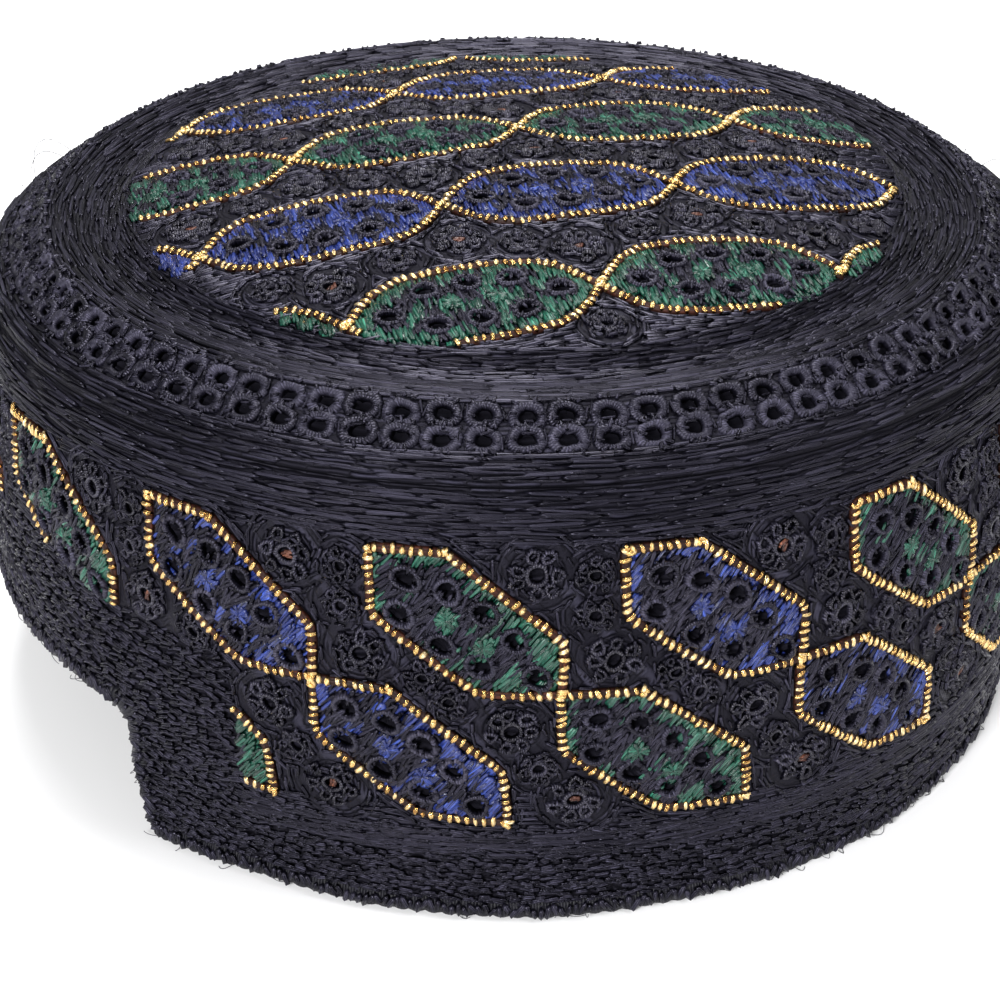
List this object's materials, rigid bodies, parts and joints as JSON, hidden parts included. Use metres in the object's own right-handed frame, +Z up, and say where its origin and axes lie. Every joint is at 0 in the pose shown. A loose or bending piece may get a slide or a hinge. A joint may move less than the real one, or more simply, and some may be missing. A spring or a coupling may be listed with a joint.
{
  "type": "sindhi cap",
  "caption": "Round quilted cap, covered in thread embroidery, with a shallow crown, an upright band and a cut-out over the forehead.",
  "frame": {"origin": "middle of the rim at its lowest face, on the cap's axis", "axes": "+Z up to the crown, -Y to the forehead cut-out, +X to the wearer's left"},
  "size_m": [0.1904, 0.1904, 0.0937],
  "materials": {
    "crown_cloth": "close thread work",
    "band_cloth": "close thread work",
    "binding_cloth": "overcast thread",
    "gold_thread": "metallic thread",
    "blue_thread": "satin stitch",
    "green_thread": "satin stitch",
    "black_thread": "raised thread rings"
  },
  "bodies": {
    "root": {"crown_top": "crown_cloth", "side_band": "band_cloth", "edge_binding": "binding_cloth"}
  },
  "joints": []
}
